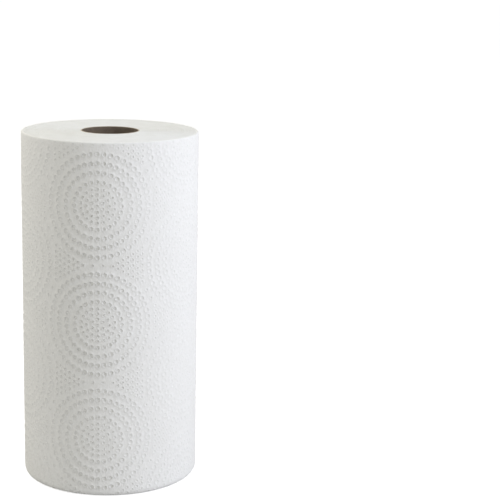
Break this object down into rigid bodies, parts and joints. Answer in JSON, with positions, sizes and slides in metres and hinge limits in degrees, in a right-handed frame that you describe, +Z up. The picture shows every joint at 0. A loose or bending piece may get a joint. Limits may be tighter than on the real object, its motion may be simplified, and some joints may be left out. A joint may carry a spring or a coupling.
{
  "type": "paper towel roll",
  "caption": "Upright roll of white embossed paper towel, perforated into sheets and wound on a hollow cardboard tube open at both ends.",
  "frame": {"origin": "on the tube's axis, in the plane that the roll stands on", "axes": "+Z up along the tube's axis; +Y points at the loose tail edge, -Y at the side that the picture shows"},
  "size_m": [0.1394, 0.1397, 0.2794],
  "materials": {
    "towel_paper": "matte, embossed",
    "core_board": "matte"
  },
  "bodies": {
    "root": {"paper_roll": "towel_paper", "core_tube": "core_board"}
  },
  "joints": []
}
